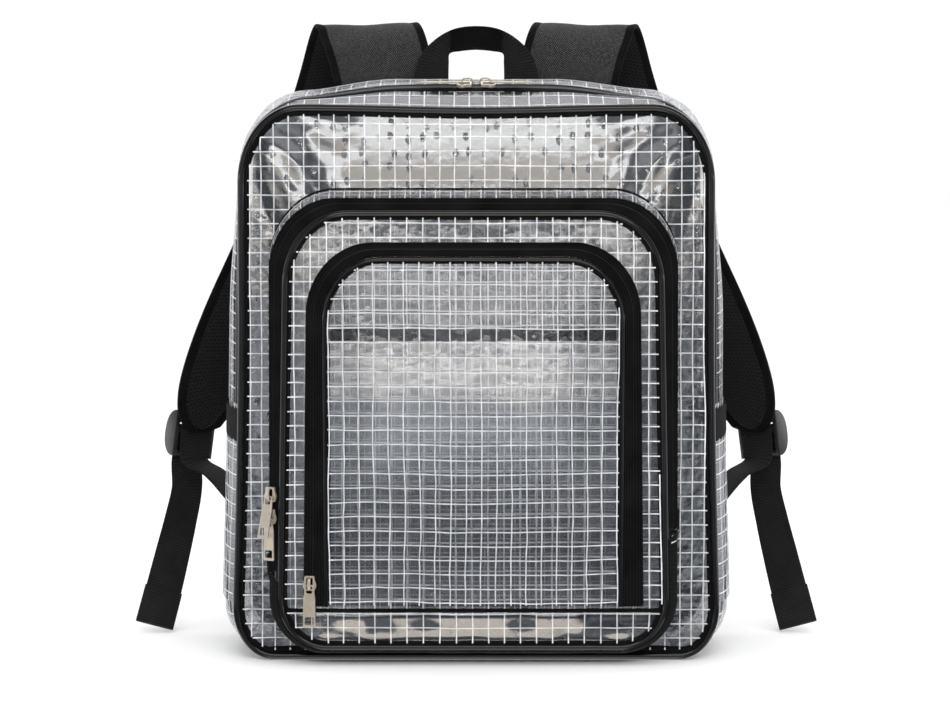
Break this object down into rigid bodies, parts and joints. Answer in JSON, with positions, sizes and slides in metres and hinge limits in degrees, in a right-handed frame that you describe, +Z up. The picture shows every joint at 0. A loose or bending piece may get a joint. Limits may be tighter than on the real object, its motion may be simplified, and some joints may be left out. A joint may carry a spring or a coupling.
{
  "type": "clear tool backpack",
  "caption": "Standing backpack of clear gridded film with black piping, zipped front pockets, side pockets, grab handle and padded shoulder straps.",
  "frame": {"origin": "middle of the flat base panel, on the surface the bag stands on", "axes": "+Z up, the front with its pockets faces -Y, +X to the right of someone who looks at the front"},
  "size_m": [0.5066, 0.2346, 0.4553],
  "materials": {
    "film": "clear flexible film with a white thread grid in it",
    "piping": "black soft plastic, half gloss",
    "zip_tape": "black woven tape with a coil chain",
    "webbing": "black ribbed webbing",
    "mesh_pad": "black cloth and spacer mesh over foam",
    "pale_metal": "pale gold plated casting",
    "buckle": "dark grey moulded plastic"
  },
  "bodies": {
    "bag": {"front_panel": "film", "zip_gusset_front": "film", "zip_gusset_back": "film", "side_gusset_left": "film", "side_gusset_right": "film", "base_panel": "film", "side_pocket_left": "film", "side_pocket_right": "film", "front_pocket_wall": "film", "front_pocket_face": "film", "small_pocket_face": "film", "slip_pocket": "film", "front_piping": "piping", "back_piping": "piping", "front_pocket_piping": "piping", "small_pocket_piping": "piping", "small_pocket_hem": "piping", "slip_pocket_binding": "piping", "strap_binding_left": "piping", "strap_binding_right": "piping", "main_zipper": "zip_tape", "front_pocket_zipper": "zip_tape", "small_pocket_zipper": "zip_tape", "side_pocket_band_left": "zip_tape", "side_pocket_band_right": "zip_tape", "grab_handle": "webbing", "pad_loop_left": "webbing", "pad_loop_right": "webbing", "lower_webbing_left": "webbing", "lower_webbing_right": "webbing", "anchor_tab_left": "webbing", "anchor_tab_right": "webbing", "back_panel": "mesh_pad", "strap_pad_left": "mesh_pad", "strap_pad_right": "mesh_pad", "main_slider_left": "pale_metal", "main_slider_right": "pale_metal", "front_slider_upper": "pale_metal", "front_slider_lower": "pale_metal", "small_slider": "pale_metal", "ladder_lock_left": "buckle", "ladder_lock_right": "buckle"},
    "main_pull_left": {"main_pull_left": "pale_metal"},
    "main_pull_right": {"main_pull_right": "pale_metal"},
    "front_pull_upper": {"front_pull_upper": "pale_metal"},
    "front_pull_lower": {"front_pull_lower": "pale_metal"},
    "small_pull": {"small_pull": "pale_metal"}
  },
  "joints": [
    {"name": "main_pull_left_swing", "type": "hinge", "parent": "bag", "child": "main_pull_left", "pos_m": [-0.00993, -0.02871, 0.40664], "axis": [0, 0.9426, 0.334], "range_deg": [0, 100]},
    {"name": "main_pull_right_swing", "type": "hinge", "parent": "bag", "child": "main_pull_right", "pos_m": [0.00993, -0.02871, 0.40664], "axis": [0, -0.9426, -0.334], "range_deg": [0, 100]},
    {"name": "front_pull_upper_swing", "type": "hinge", "parent": "bag", "child": "front_pull_upper", "pos_m": [-0.14415, -0.08392, 0.1186], "axis": [-0.8438, 0.5367, 0], "range_deg": [0, 120]},
    {"name": "front_pull_lower_swing", "type": "hinge", "parent": "bag", "child": "front_pull_lower", "pos_m": [-0.14433, -0.08388, 0.1031], "axis": [-0.8336, 0.5524, 0], "range_deg": [0, 120]},
    {"name": "small_pull_swing", "type": "hinge", "parent": "bag", "child": "small_pull", "pos_m": [-0.11609, -0.09021, 0.0571], "axis": [-0.9931, 0.1176, 0], "range_deg": [0, 150]}
  ],
  "couplings": [
    {"joint": "front_pull_lower_swing", "follows": "front_pull_upper_swing", "ratio": 1}
  ]
}
